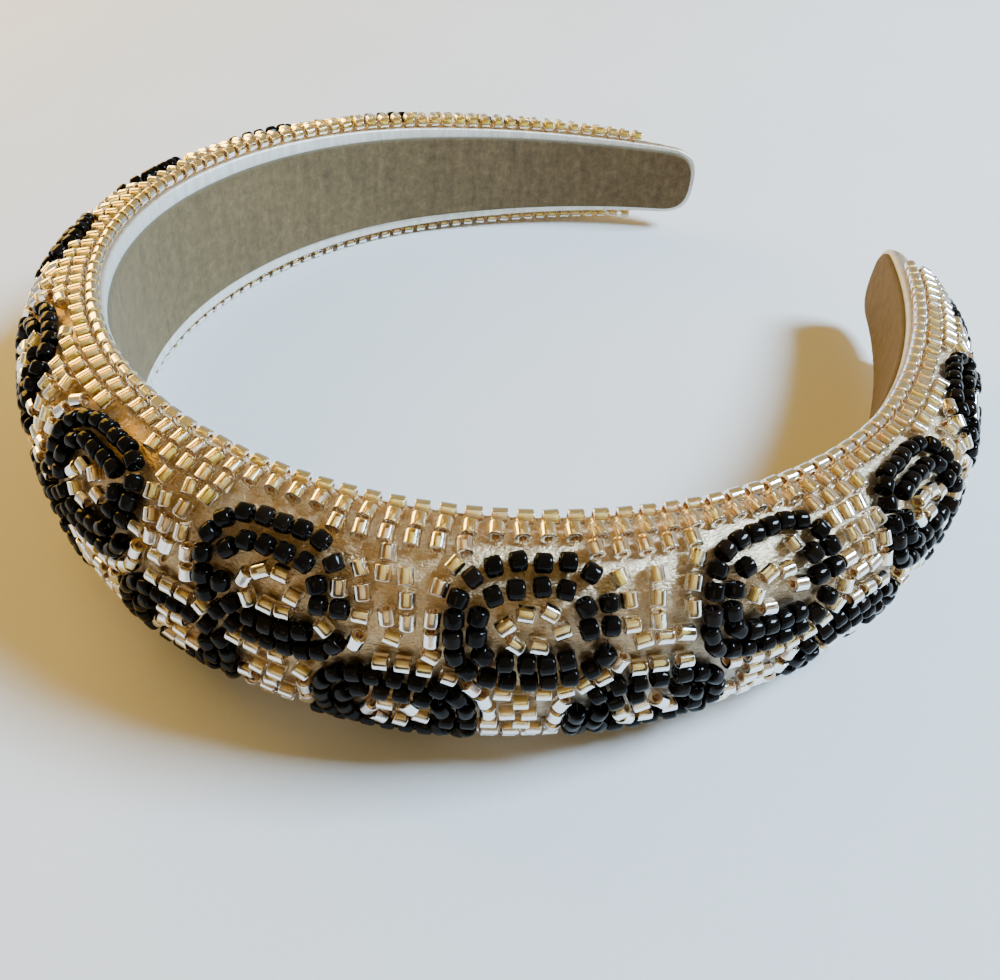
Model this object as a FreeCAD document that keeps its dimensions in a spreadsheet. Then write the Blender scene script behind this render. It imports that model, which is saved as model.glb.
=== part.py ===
import FreeCAD, Part
import math
import os
import random

# A padded headband: a springy plastic former, a crowned foam pad, a metallic fabric cover turned in
# on the inside, a suede lining, and glass seed beads sewn all over the outside in leopard rosettes.
# The band's own frame has its centre plane at z = 0, the inner face of the apex at the origin and
# both tips towards +Y. "Arc" runs along the inner face from the apex, positive towards +X;
# "across" runs over the fabric from the crown line, positive towards +Z.

SHEET_VALUES = {
    "half_length": 185.0,        # inner face, apex to tip
    "apex_radius": 60.8,         # plan radius of the first third of each half
    "shoulder_radius": 68.3,     # second third
    "arm_radius": 129.5,         # last third
    "apex_width": 30.8,
    "tip_width": 15.0,
    "tip_power": 3.0,            # squareness of the rounded tips, 2 is a half circle
    "width_power": 1.18,         # how the width falls from apex to tip
    "pad_height": 12.3,          # inner face to the crown of the fabric
    "tip_height": 3.4,
    "full_height_run": 115.0,    # arc over which the pad keeps its height
    "crown_power": 2.74,         # squareness of the padded section, 2 is an ellipse
    "cover_thickness": 0.4,
    "turn_in": 8.0,              # fabric folded on to the inner face
    "former_thickness": 1.4,
    "former_edge_gap": 1.3,      # from the cover's outer side to the former's edge
    "layer_gap": 0.02,
    "lining_thickness": 0.6,
    "lining_margin": 3.0,        # fabric left showing beside the lining at the apex
    "lining_tip_margin": 0.8,
    "gold_diameter": 2.0,
    "gold_bead_length": 1.85,
    "gold_hole": 0.85,
    "black_diameter": 2.35,
    "black_bead_length": 1.9,
    "black_hole": 0.8,
    "bead_clearance": 0.06,
    "edge_row_inset": 1.4,
    "edge_row_pitch": 2.9,
    "second_row_step": 2.1,      # edge row to the row inside it, and on to the next
    "edge_rows_width": 5.2,      # girth beside each edge that the edge rows take up
    "beaded_arc": 172.0,         # the beads stop this far from the apex
    "rosette_pitch": 25.0,
    "rosette_start": 10.0,
    "upper_row_across": 8.6,
    "lower_row_across": -6.7,
    "rosette_half_height": 7.1,
    "rosette_half_width": 8.6,
    "left_arm_drop": 2.4,        # the rosettes' tops sit this much lower along the left arm
    "drop_start": 70.0,
    "drop_run": 40.0,
    "ring_row_step": 2.5,        # between the two rows of black beads in a rosette
    "outline_offset": 2.35,      # rosette's outer black row to the gold line round it
    "outline_pitch": 2.35,
    "centre_pitch": 2.4,
    "field_pitch": 2.5,
    "field_row_step": 2.2,
    "sparse_above": 7.0,         # above this the fabric shows between the field's beads
    "sparse_gap": 0.16,
    "thread_size": 0.22,
    "rest_tilt_degrees": -2.55,   # lying on its side, tips down
    "rest_lift": 17.734,
    "rest_back": -63.245,
}

SECTION_POINTS = 15      # points on each padded section's outline
BODY_STATIONS = 26       # sections along each half before the tip's rounding
TIP_ANGLES = (0, 22, 42, 58, 70, 79, 85.5, 88)
GIRTH_STEPS = 60
SEED = 7
FILL_ATTEMPTS = 24000
RING_STEPS = 240
THICKEN_ATTEMPTS = 60
THICKEN_ANGLES = (math.radians(175), math.radians(365))   # the lower half of a rosette
THICKEN_REACH = (0.55, 1.08)                              # shares of the outer ring's size
THICKEN_TURN = 1.2           # those beads may point any way within this of the band's direction
CENTRE_INSET_ALONG = 2.2     # ring steps from a rosette's outside to its gold beads, along the band
CENTRE_INSET_ACROSS = 1.85   # and across it
LEAST_CENTRE_HEIGHT = 0.4
MIDDLE_BEAD_TURN = (0.4, 2.0)
TURN_IN_END = 0.84        # share of each half over which the fabric's two turn-ins stay apart

document = FreeCAD.newDocument("headband")
sheet = document.addObject("Spreadsheet::Sheet", "Dimensions")
for row_number, (alias, value) in enumerate(SHEET_VALUES.items(), start=1):
    sheet.set("A%d" % row_number, alias)
    sheet.set("B%d" % row_number, str(value))
    sheet.setAlias("B%d" % row_number, alias)
document.recompute()


def size(alias):
    return float(getattr(sheet, alias))


# ---------------------------------------------------------------- band geometry

HALF = size("half_length")
THIRD = HALF / 3
RADII = (size("apex_radius"), size("shoulder_radius"), size("arm_radius"))


def plan_radius(arc):
    return RADII[min(2, int(abs(arc) / THIRD))]


def plan_point(arc):
    """Point and heading angle of the inner face line, as tangent arcs."""
    x, y, heading = 0.0, 0.0, 0.0
    for index, radius in enumerate(RADII):
        run = abs(arc) - index * THIRD
        if run <= 0:
            break
        if index < len(RADII) - 1:
            run = min(run, THIRD)
        turned = heading + run / radius
        x += radius * (math.sin(turned) - math.sin(heading))
        y += radius * (math.cos(heading) - math.cos(turned))
        heading = turned
    if arc < 0:
        return -x, y, -heading
    return x, y, heading


def tangent_at(arc):
    heading = plan_point(arc)[2]
    return FreeCAD.Vector(math.cos(heading), math.sin(heading), 0)


def outward_at(arc):
    heading = plan_point(arc)[2]
    return FreeCAD.Vector(math.sin(heading), -math.cos(heading), 0)


def band_width(arc):
    share = min(1.0, abs(arc) / HALF)
    fall = (1 - share * share) ** size("width_power")
    return size("tip_width") + (size("apex_width") - size("tip_width")) * fall


def pad_height(arc):
    flat = size("full_height_run")
    past = min(1.0, max(0.0, (abs(arc) - flat) / (HALF - flat)))
    return size("tip_height") + (size("pad_height") - size("tip_height")) * (1 - past * past)


def space_point(arc, outward, up):
    """A point at the given distance outward from the inner face and up from the centre plane."""
    x, y, heading = plan_point(arc)
    return FreeCAD.Vector(x + outward * math.sin(heading), y - outward * math.cos(heading), up)


def section_stations(end_arc, end_radius):
    """Arcs and width factors of the sections, closing round the tips."""
    straight_end = end_arc - end_radius
    half = [(straight_end * index / BODY_STATIONS, 1.0) for index in range(BODY_STATIONS)]
    power = 2 / size("tip_power")
    for angle in TIP_ANGLES:
        turned = math.radians(angle)
        half.append((straight_end + end_radius * math.sin(turned) ** power, math.cos(turned) ** power))
    other_half = [(-arc, factor) for arc, factor in reversed(half[1:])]
    return other_half + half


def padded_outline(arc, half_width, base, top):
    """Closed D-shaped section: a straight base and a crowned top."""
    power = size("crown_power")
    points = []
    for index in range(SECTION_POINTS):
        angle = math.pi * (index / (SECTION_POINTS - 1) - 0.5)
        side = math.copysign(abs(math.sin(angle)) ** (2 / power), angle)
        rise = abs(math.cos(angle)) ** (2 / power)
        if index in (0, SECTION_POINTS - 1):
            rise = 0.0
        points.append(space_point(arc, base + (top - base) * rise, half_width * side))
    crown = Part.BSplineCurve()
    crown.interpolate(points)
    return Part.Wire([crown.toShape(), Part.makeLine(points[-1], points[0])])


def flat_outline(arc, half_width, base, top):
    """Closed rectangular section."""
    corners = ((base, -half_width), (top, -half_width), (top, half_width), (base, half_width))
    points = [space_point(arc, outward, up) for outward, up in corners]
    return Part.makePolygon(points + points[:1])


def padded_solid(inset, base):
    """The padded envelope, moved in from the cover's outside by inset, above the given base."""
    end_radius = size("tip_width") / 2 - inset
    wires = []
    for arc, factor in section_stations(HALF - inset, end_radius):
        half_width = (band_width(arc) / 2 - inset) * factor
        wires.append(padded_outline(arc, half_width, base, pad_height(arc) - inset))
    return Part.makeLoft(wires, True)


def flat_solid(end_arc, half_width_at, base, top):
    wires = []
    for arc, factor in section_stations(end_arc, half_width_at(end_arc)):
        wires.append(flat_outline(arc, half_width_at(arc) * factor, base, top))
    return Part.makeLoft(wires, True)


# ---------------------------------------------------------------- soft layers and former

def former_half_width(arc):
    return band_width(arc) / 2 - size("former_edge_gap")


def lining_half_width(arc):
    share = min(1.0, abs(arc) / HALF)
    margin = size("lining_margin") + (size("lining_tip_margin") - size("lining_margin")) * share ** 2
    return band_width(arc) / 2 - margin


def turn_in_half_width(arc):
    return band_width(arc) / 2 - size("turn_in")


def build_layers():
    cover = size("cover_thickness")
    former_top = cover + size("former_thickness")
    gap = size("layer_gap")
    end_gap = size("former_edge_gap")
    slot = flat_solid(TURN_IN_END * HALF, turn_in_half_width, -cover, 2 * cover)
    outside = padded_solid(0.0, 0.0)
    inside = padded_solid(cover, cover)
    return {
        "plastic_former": flat_solid(HALF - end_gap, former_half_width, cover + gap, former_top),
        "foam_pad": padded_solid(cover + gap, former_top + gap),
        "fabric_cover": outside.cut(inside).cut(slot),
        "suede_lining": flat_solid(
            HALF - size("lining_tip_margin"), lining_half_width, -size("lining_thickness") - gap, -gap),
    }


# ---------------------------------------------------------------- beads

def bead_blank(name, kind):
    """A short glass tube with a square hole, centred on the origin and lying along Z."""
    tube = document.addObject("Part::Cylinder", name + "_tube")
    tube.setExpression("Radius", "Dimensions.%s_diameter / 2" % kind)
    tube.setExpression("Height", "Dimensions.%s_bead_length" % kind)
    tube.setExpression("Placement.Base.z", "-Dimensions.%s_bead_length / 2" % kind)
    hole = document.addObject("Part::Box", name + "_hole")
    hole.setExpression("Length", "Dimensions.%s_hole" % kind)
    hole.setExpression("Width", "Dimensions.%s_hole" % kind)
    hole.setExpression("Height", "2 * Dimensions.%s_bead_length" % kind)
    hole.setExpression("Placement.Base.x", "-Dimensions.%s_hole / 2" % kind)
    hole.setExpression("Placement.Base.y", "-Dimensions.%s_hole / 2" % kind)
    hole.setExpression("Placement.Base.z", "-Dimensions.%s_bead_length" % kind)
    blank = document.addObject("Part::Cut", name)
    blank.Base = tube
    blank.Tool = hole
    return blank


class Girth:
    """The fabric's outline at one arc, measured across from the crown line."""

    def __init__(self, arc):
        self.power = size("crown_power")
        self.half_width = band_width(arc) / 2
        self.height = pad_height(arc)
        self.samples = [(0.0, self.at_angle(0.0))]
        for index in range(1, GIRTH_STEPS + 1):
            point = self.at_angle(math.pi / 2 * index / GIRTH_STEPS)
            last_length, last = self.samples[-1]
            step = math.hypot(point[0] - last[0], point[1] - last[1])
            self.samples.append((last_length + step, point))
        self.half_girth = self.samples[-1][0]

    def at_angle(self, angle):
        side = abs(math.sin(angle)) ** (2 / self.power)
        rise = abs(math.cos(angle)) ** (2 / self.power)
        return self.half_width * side, self.height * rise

    def at(self, across):
        """Up and outward position, and the outward normal's up and outward shares."""
        wanted = min(abs(across), self.half_girth)
        index = 1
        while self.samples[index][0] < wanted and index < GIRTH_STEPS:
            index += 1
        low, (low_up, low_out) = self.samples[index - 1]
        high, (high_up, high_out) = self.samples[index]
        part = (wanted - low) / (high - low)
        up = low_up + (high_up - low_up) * part
        out = low_out + (high_out - low_out) * part
        normal_up = (up / self.half_width) ** (self.power - 1) / self.half_width
        normal_out = (out / self.height) ** (self.power - 1) / self.height
        length = math.hypot(normal_up, normal_out)
        sign = math.copysign(1.0, across)
        return sign * up, out, sign * normal_up / length, normal_out / length


girths = {}


def girth_at(arc):
    key = round(abs(arc), 1)
    if key not in girths:
        girths[key] = Girth(key)
    return girths[key]


def stretch_at(arc, across):
    """Length over the fabric for each millimetre of arc, because the fabric lies further out."""
    return 1 + girth_at(arc).at(across)[1] / plan_radius(arc)


BIN = 4.0            # arc of each bin of beads, longer than any bead reaches
FAR_APART = 3.4      # beads whose centres are this far apart can't touch
EDGE_ALLOWANCE = 0.01


class Bead:
    def __init__(self, kind, arc, across, turn, group):
        up, out, normal_up, normal_out = girth_at(arc).at(across)
        outward = outward_at(arc)
        along = tangent_at(arc)
        self.kind = kind
        self.group = group
        self.arc = arc
        self.radius = size(kind + "_diameter") / 2
        self.half_length = size(kind + "_bead_length") / 2
        self.normal = outward * normal_out + FreeCAD.Vector(0, 0, normal_up)
        over = self.normal.cross(along)
        lift = self.radius + size("bead_clearance") / 2
        self.centre = space_point(arc, out, up) + self.normal * lift
        self.axis = along * math.cos(turn) + over * math.sin(turn)
        self.side = self.normal.cross(self.axis)

    def reach(self, direction):
        return self.half_length * abs(self.axis.dot(direction)) + self.radius * abs(self.side.dot(direction))

    def is_clear_of(self, other, gap):
        apart = other.centre - self.centre
        if apart.Length > FAR_APART:
            return True
        for direction in (self.axis, self.side, other.axis, other.side):
            if abs(apart.dot(direction)) > self.reach(direction) + other.reach(direction) + gap:
                return True
        return False


beads = []
bins = {}


def place(kind, arc, across, turn, group, gap=size("bead_clearance")):
    """Sew a bead on unless it would crowd one already there or leave the beaded area."""
    if abs(arc) > size("beaded_arc"):
        return False
    if abs(across) > girth_at(arc).half_girth - size("edge_row_inset") + EDGE_ALLOWANCE:
        return False
    bead = Bead(kind, arc, across, turn, group)
    home = int(math.floor(arc / BIN))
    for neighbour_bin in (home - 1, home, home + 1):
        for other in bins.get(neighbour_bin, ()):
            if not bead.is_clear_of(other, gap):
                return False
    bins.setdefault(home, []).append(bead)
    beads.append(bead)
    return True


def row_of_beads(across_at, pitch, turn, group_at, start_share, jitter, gap=size("bead_clearance")):
    """One row along the band; across_at gives its place across at each arc."""
    for direction in (1, -1):
        arc = start_share * pitch if direction > 0 else -(1 - start_share) * pitch
        while abs(arc) < size("beaded_arc"):
            place("gold", arc, across_at(arc), turn + random.uniform(-jitter, jitter), group_at(arc), gap)
            arc += direction * pitch / stretch_at(arc, across_at(arc))


ZONES = (("crown", 25.0), ("shoulder", 75.0), ("side", 122.0), ("end", HALF))


def zone_name(arc):
    for name, limit in ZONES:
        if abs(arc) <= limit:
            break
    if name == "crown":
        return name
    return ("right_" if arc > 0 else "left_") + name


# Lying on its side, the band rests on the bottom edge beads between these arcs on each arm.
REST_ARCS = ((72.0, 78.0), (90.0, 95.0))


def edge_line(side, extra=0.0):
    """Where a row beside the top edge (side 1) or the bottom edge (side -1) lies, at each arc."""
    return lambda arc: side * (girth_at(arc).half_girth - size("edge_row_inset") - extra)


def top_edge_group(arc):
    return "top_edge_beads"


def bottom_edge_group(arc):
    rests = any(low < abs(arc) < high for low, high in REST_ARCS)
    return "bottom_rest_beads" if rests else "bottom_edge_beads"


# How far a bead's direction strays in each kind of row, in radians, and how square the rings are.
EDGE_UNEVENNESS = 0.05
ROW_UNEVENNESS = 0.12
RING_UNEVENNESS = 0.16
OUTLINE_UNEVENNESS = 0.14
FIELD_UNEVENNESS = 0.3
LOOSE_UNEVENNESS = 0.5
SINGLE_UNEVENNESS = 0.8
RING_SQUARENESS = 2.9
OUTLINE_SQUARENESS = 2.5
CENTRE_SQUARENESS = 2.0
SECOND_ROWS = ((1, 0.5), (2, 0.0))      # number of row steps in from the edge, shift in pitches


def sew_edge_rows():
    for side, group_at in ((1, top_edge_group), (-1, bottom_edge_group)):
        row_of_beads(edge_line(side), size("edge_row_pitch"), 0.0, group_at, 0.0, EDGE_UNEVENNESS)


def sew_second_rows():
    """Two rows inside each edge row, their beads between those of the row before."""
    for side in (1, -1):
        for steps, shift in SECOND_ROWS:
            line = edge_line(side, steps * size("second_row_step"))
            row_of_beads(line, size("edge_row_pitch"), math.pi / 2, gold_group, shift, ROW_UNEVENNESS)


def boxy_ring(half_width, half_height, squareness, angle):
    """A point of a rounded rectangle ring round a rosette's centre."""
    cosine, sine = math.cos(angle), math.sin(angle)
    along = half_width * math.copysign(abs(cosine) ** (2 / squareness), cosine)
    across = half_height * math.copysign(abs(sine) ** (2 / squareness), sine)
    return along, across


def ring_of_beads(kind, centre, half_width, half_height, step_at, gap, group, squareness, lean, unevenness):
    """Beads round a ring, leaving out the gap between two angles in degrees."""
    centre_arc, centre_across = centre
    travelled = step_at(0.0)
    last = boxy_ring(half_width, half_height, squareness, 0.0)
    for index in range(RING_STEPS):
        angle = 2 * math.pi * index / RING_STEPS
        along, across = boxy_ring(half_width, half_height, squareness, angle)
        travelled += math.hypot(along - last[0], across - last[1])
        direction = math.atan2(across - last[1], along - last[0])
        last = (along, across)
        degrees = math.degrees(angle)
        if travelled < step_at(degrees) or (gap and gap[0] <= degrees <= gap[1]):
            continue
        turn = direction + random.uniform(-unevenness, unevenness)
        shift = random.uniform(-unevenness, unevenness)
        arc = centre_arc + (along + lean * across) / stretch_at(centre_arc, centre_across)
        if place(kind, arc, centre_across + across + shift, turn, group(arc)):
            travelled = 0.0


def black_group(arc):
    return "black_beads_" + zone_name(arc)


def gold_group(arc):
    return "gold_beads_" + zone_name(arc)


def centre_group(arc):
    return "rosette_centres_" + zone_name(arc)


# Each rosette's bead step along its top, the breaks in its outer and inner ring as two angles in
# degrees, and how far it leans sideways.
RING_STYLES = (
    (2.05, (200, 225), None, 0.10),
    (2.45, (5, 32), (150, 165), -0.12),
    (2.7, (28, 46), None, 0.0),
    (2.2, (40, 56), (62, 125), 0.14),
    (2.05, (290, 320), None, -0.08),
    (2.3, (150, 175), (80, 100), 0.06),
)
TOP_ANGLES = (50, 130)
CLOSE_STEP = 1.98         # bead step on the rosettes' sides and bottoms


def rosette_step(top_step):
    return lambda degrees: top_step if TOP_ANGLES[0] < degrees < TOP_ANGLES[1] else CLOSE_STEP


def top_drop(arc):
    """How much lower the rosettes' tops sit at this arc than over the middle of the band."""
    share = (-arc - size("drop_start")) / size("drop_run")
    return size("left_arm_drop") * min(1.0, max(0.0, share))


def rosette_places():
    places = []
    pitch = size("rosette_pitch")
    edge_rows = size("edge_rows_width")
    half_height = size("rosette_half_height")
    for index in range(-8, 9):
        upper_arc = size("rosette_start") + index * pitch
        lower_arc = upper_arc + pitch / 2
        for arc, row_across, style in ((upper_arc, size("upper_row_across"), index),
                                       (lower_arc, size("lower_row_across"), index + 3)):
            if abs(arc) > size("beaded_arc") - size("second_row_step"):
                continue
            free = girth_at(arc).half_girth - edge_rows
            room = free / (girth_at(0).half_girth - edge_rows)
            across = row_across * room
            if row_across > 0:
                across = min(row_across, free - half_height) - top_drop(arc) / 2
                room -= top_drop(arc) / (2 * half_height)
            places.append((arc, across, room, RING_STYLES[style % len(RING_STYLES)]))
    return places


def field_turn(across):
    """Beads near the top lie across the band, the others along it."""
    if across > size("sparse_above"):
        return math.pi / 2
    return 0.0


def sew_rosettes():
    """Two black rings, thickened low down, then loose gold beads in the middle."""
    step = size("ring_row_step")
    places = rosette_places()
    for arc, across, room, (top_step, outer_gap, inner_gap, lean) in places:
        half_width = size("rosette_half_width")
        half_height = size("rosette_half_height") * room
        for inward, gap in ((0.0, outer_gap), (step, inner_gap)):
            ring_of_beads("black", (arc, across), half_width - inward, half_height - inward,
                          rosette_step(top_step), gap, black_group, RING_SQUARENESS, lean, RING_UNEVENNESS)
        for attempt in range(THICKEN_ATTEMPTS):
            angle = random.uniform(*THICKEN_ANGLES)
            reach = random.uniform(*THICKEN_REACH)
            along, lower = boxy_ring(half_width * reach, half_height * reach, RING_SQUARENESS, angle)
            turn = random.uniform(-THICKEN_TURN, THICKEN_TURN)
            place("black", arc + along, across + lower, turn, black_group(arc + along))
    for arc, across, room, style in places:
        half_width = size("rosette_half_width") - CENTRE_INSET_ALONG * step
        half_height = size("rosette_half_height") * room - CENTRE_INSET_ACROSS * step
        half_height = max(LEAST_CENTRE_HEIGHT, half_height)
        ring_of_beads("gold", (arc, across), half_width, half_height, lambda degrees: size("centre_pitch"),
                      None, centre_group, CENTRE_SQUARENESS, 0.0, LOOSE_UNEVENNESS)
        place("gold", arc, across, random.uniform(*MIDDLE_BEAD_TURN), centre_group(arc))


def sew_outlines():
    """Gold beads in a line round each rosette."""
    offset = size("outline_offset")
    for arc, across, room, style in rosette_places():
        ring_of_beads("gold", (arc, across), size("rosette_half_width") + offset,
                      size("rosette_half_height") * room + offset, lambda degrees: size("outline_pitch"),
                      None, gold_group, OUTLINE_SQUARENESS, 0.0, OUTLINE_UNEVENNESS)


def fill_field():
    """Gold beads in brick order over whatever is still bare, then single beads in what is left."""
    row_step = size("field_row_step")
    pitch = size("field_pitch")
    rows = int(girth_at(0).half_girth / row_step)
    for row in range(-rows, rows + 1):
        shift = 0.5 * (row % 2)
        across = row * row_step
        gap = size("sparse_gap") if across > size("sparse_above") else size("bead_clearance")
        row_of_beads(lambda arc: across, pitch, field_turn(across), gold_group, shift, FIELD_UNEVENNESS, gap)
    reach = size("beaded_arc")
    for attempt in range(FILL_ATTEMPTS):
        arc = random.uniform(-reach, reach)
        girth = girth_at(arc).half_girth - size("edge_row_inset") - size("second_row_step") / 2
        across = random.uniform(-girth, girth)
        gap = size("sparse_gap") if across > size("sparse_above") else size("bead_clearance")
        turn = field_turn(across) + random.uniform(-SINGLE_UNEVENNESS, SINGLE_UNEVENNESS)
        place("gold", arc, across, turn, gold_group(arc), gap)


def edge_thread(side):
    """The thread that runs through the holes of one edge row, as a thin square cord."""
    half = size("thread_size") / 2
    lift = size("gold_diameter") / 2 + size("bead_clearance") / 2
    wires = []
    steps = 120
    for index in range(steps + 1):
        arc = size("beaded_arc") * (2 * index / steps - 1)
        girth = girth_at(arc)
        up, out, normal_up, normal_out = girth.at(side * (girth.half_girth - size("edge_row_inset")))
        outward = outward_at(arc)
        normal = outward * normal_out + FreeCAD.Vector(0, 0, normal_up)
        over = normal.cross(tangent_at(arc))
        middle = space_point(arc, out, up) + normal * lift
        corners = [middle + normal * (half * a) + over * (half * b)
                   for a, b in ((-1, -1), (1, -1), (1, 1), (-1, 1))]
        wires.append(Part.makePolygon(corners + corners[:1]))
    return Part.makeLoft(wires, True, True)


# ---------------------------------------------------------------- document objects

random.seed(SEED)
gold_blank = bead_blank("gold_bead", "gold")
black_blank = bead_blank("black_bead", "black")
document.recompute()

sew_edge_rows()
sew_rosettes()
sew_second_rows()
sew_outlines()
fill_field()

rest_turn = FreeCAD.Rotation(FreeCAD.Vector(1, 0, 0), size("rest_tilt_degrees"))
rest_place = FreeCAD.Placement(
    FreeCAD.Vector(0, size("rest_back"), size("rest_lift")), rest_turn)

nodes = []


def add_node(label, shape):
    node = document.addObject("Part::Feature", label)
    node.Shape = shape
    node.Label = label
    node.Placement = rest_place
    nodes.append(node)


for label, shape in build_layers().items():
    add_node(label, shape)
add_node("top_edge_thread", edge_thread(1))
add_node("bottom_edge_thread", edge_thread(-1))

groups = {}
for bead in beads:
    blank = gold_blank if bead.kind == "gold" else black_blank
    copy = blank.Shape.copy()
    copy.Placement = FreeCAD.Placement(
        bead.centre, FreeCAD.Rotation(bead.side, bead.normal, bead.axis, "ZXY"))
    groups.setdefault(bead.group, []).append(copy)
for label in sorted(groups):
    add_node(label, Part.makeCompound(groups[label]))

document.recompute()

os.makedirs("parts", exist_ok=True)
for node in nodes:
    faults = [state for state in node.State if state in ("Invalid", "Error")]
    if faults or node.Shape.isNull() or not node.Shape.isValid():
        raise RuntimeError("%s is not a valid shape" % node.Label)
    node.Shape.exportStep("parts/%s.step" % node.Label)
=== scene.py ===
import math

import bpy
import numpy as np
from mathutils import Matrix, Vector, kdtree


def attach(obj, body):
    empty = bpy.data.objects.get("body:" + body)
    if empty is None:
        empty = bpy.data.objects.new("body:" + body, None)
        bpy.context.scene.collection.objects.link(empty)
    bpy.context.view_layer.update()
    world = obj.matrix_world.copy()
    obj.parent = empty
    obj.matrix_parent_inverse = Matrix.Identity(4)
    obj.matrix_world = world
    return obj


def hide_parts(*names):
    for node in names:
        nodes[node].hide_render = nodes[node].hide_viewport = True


# Looks for the beaded headband. Lengths are in millimetres until a piece is made, and its points
# then go to metres in the row frame. The band's own frame is the same as in the CAD: the inner
# face of the apex is the origin, both tips point towards +Y, and the centre plane is z = 0.

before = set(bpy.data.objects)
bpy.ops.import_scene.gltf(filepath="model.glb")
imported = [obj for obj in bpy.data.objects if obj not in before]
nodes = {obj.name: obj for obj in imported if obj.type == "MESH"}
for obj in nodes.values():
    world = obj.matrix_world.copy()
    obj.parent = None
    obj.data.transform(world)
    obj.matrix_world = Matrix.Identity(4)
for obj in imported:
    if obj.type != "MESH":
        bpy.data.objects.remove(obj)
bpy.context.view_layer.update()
random = np.random.default_rng(11)

# ------------ the band's measures

HALF = 185.0  # from the apex to a tip, along the inner face
THIRD = HALF / 3  # each third of a side has its own radius
RADII = (60.8, 68.3, 129.5)
APEX_WIDTH, TIP_WIDTH, WIDTH_POWER = 30.8, 15.0, 1.18
PAD_HEIGHT, TIP_HEIGHT, FULL_HEIGHT_RUN = 12.3, 3.4, 115.0
TIP_POWER = 3.0  # squareness of a rounded tip, 2 is an ellipse
CROWN_POWER = 2.74  # squareness of the padded section
LEAST_TIP_SHARE = 1e-8  # keeps the root taken at a tip's end above zero
LAST_TIP_ANGLE = 89.9  # the last arc lies just short of a strip's end
TURN_IN = 8.0  # fabric folded on to the inner face
LINING_MARGIN, LINING_TIP_MARGIN = 3.0, 0.8
LINING_BACK, LINING_FACE = -0.03, -0.62
REST_TILT = math.radians(-2.55)  # the band leans as it lies on its edge beads
REST_MOVE = np.array((0.0, -63.245, 17.734))
MM = 0.001
NEARLY_ZERO = 1e-9  # keeps divisions by a length safe

GOLD = {"radius": 1.0, "half_length": 0.925, "hole": 0.425}
BLACK = {"radius": 1.175, "half_length": 0.95, "hole": 0.4}


def plan(arc):
    """X, Y and heading of the inner face line at each arc."""
    along = np.abs(arc)
    x, y, heading = np.zeros_like(along), np.zeros_like(along), np.zeros_like(along)
    for index, radius in enumerate(RADII):
        run = np.maximum(along - index * THIRD, 0)
        if index < len(RADII) - 1:
            run = np.minimum(run, THIRD)
        turned = heading + run / radius
        x = x + radius * (np.sin(turned) - np.sin(heading))
        y = y + radius * (np.cos(heading) - np.cos(turned))
        heading = turned
    side = np.sign(arc)
    return side * x, y, side * heading


def in_band(arc, outward, up):
    """Points at an arc, a height over the inner face and a height over the centre plane."""
    x, y, heading = plan(arc)
    return np.stack([x + outward * np.sin(heading), y - outward * np.cos(heading), up + 0 * x], -1)


def width_at(arc):
    share = np.minimum(1.0, np.abs(arc) / HALF)
    return TIP_WIDTH + (APEX_WIDTH - TIP_WIDTH) * (1 - share ** 2) ** WIDTH_POWER


def height_at(arc):
    past = np.clip((np.abs(arc) - FULL_HEIGHT_RUN) / (HALF - FULL_HEIGHT_RUN), 0, 1)
    return TIP_HEIGHT + (PAD_HEIGHT - TIP_HEIGHT) * (1 - past ** 2)


def tip_factor(arc, end, radius):
    """Share of the width left where a strip's end is rounded."""
    past = np.clip((np.abs(arc) - (end - radius)) / radius, 0, 1)
    return np.maximum(1 - past ** TIP_POWER, LEAST_TIP_SHARE) ** (1 / TIP_POWER)


def strip_arcs(end, end_radius, straight_count, tip_count):
    """Arcs from one rounded end of a strip to the other, closer together where it is rounded."""
    straight_end = end - end_radius
    straight = np.linspace(0, straight_end, straight_count, endpoint=False)
    turned = np.radians(np.linspace(0, LAST_TIP_ANGLE, tip_count))
    half = np.concatenate([straight, straight_end + end_radius * np.sin(turned) ** (2 / TIP_POWER)])
    return np.concatenate([-half[:0:-1], half])


TURN = np.array([[1, 0, 0],
                 [0, math.cos(REST_TILT), -math.sin(REST_TILT)],
                 [0, math.sin(REST_TILT), math.cos(REST_TILT)]])


def to_row(points):
    """Band frame in millimetres to the row frame in metres."""
    return (points @ TURN.T + REST_MOVE) * MM


def to_band(points):
    """Row frame in metres to the band frame in millimetres."""
    return (points / MM - REST_MOVE) @ TURN


# ------------ meshes

def make_piece(name, points, faces, material, body="root"):
    """A smooth mesh from points in the row frame, riding on a CAD body."""
    mesh = bpy.data.meshes.new(name)
    mesh.from_pydata(points, [], faces)
    mesh.polygons.foreach_set("use_smooth", np.ones(len(mesh.polygons), bool))
    mesh.materials.append(material)
    mesh.update()
    piece = bpy.data.objects.new(name, mesh)
    bpy.context.scene.collection.objects.link(piece)
    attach(piece, body)
    return piece


def set_tone(piece, name, values):
    """A number for each point, for the materials to read."""
    attribute = piece.data.attributes.new(name, "FLOAT", "POINT")
    attribute.data.foreach_set("value", np.asarray(values, np.float32))


def set_local(piece, name, values):
    """A vector for each point, such as its place in its own bead."""
    attribute = piece.data.attributes.new(name, "FLOAT_VECTOR", "POINT")
    attribute.data.foreach_set("vector", np.asarray(values, np.float32).ravel())


def grid_faces(rows, columns, close_rows=False, close_columns=False):
    """Quads between neighbouring rows and columns of points."""
    row = np.arange(rows if close_rows else rows - 1)
    column = np.arange(columns if close_columns else columns - 1)
    r, c = np.meshgrid(row, column, indexing="ij")
    next_r, next_c = (r + 1) % rows, (c + 1) % columns
    quads = [r * columns + c, r * columns + next_c, next_r * columns + next_c, next_r * columns + c]
    return np.stack(quads, -1).reshape(-1, 4)


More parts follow.
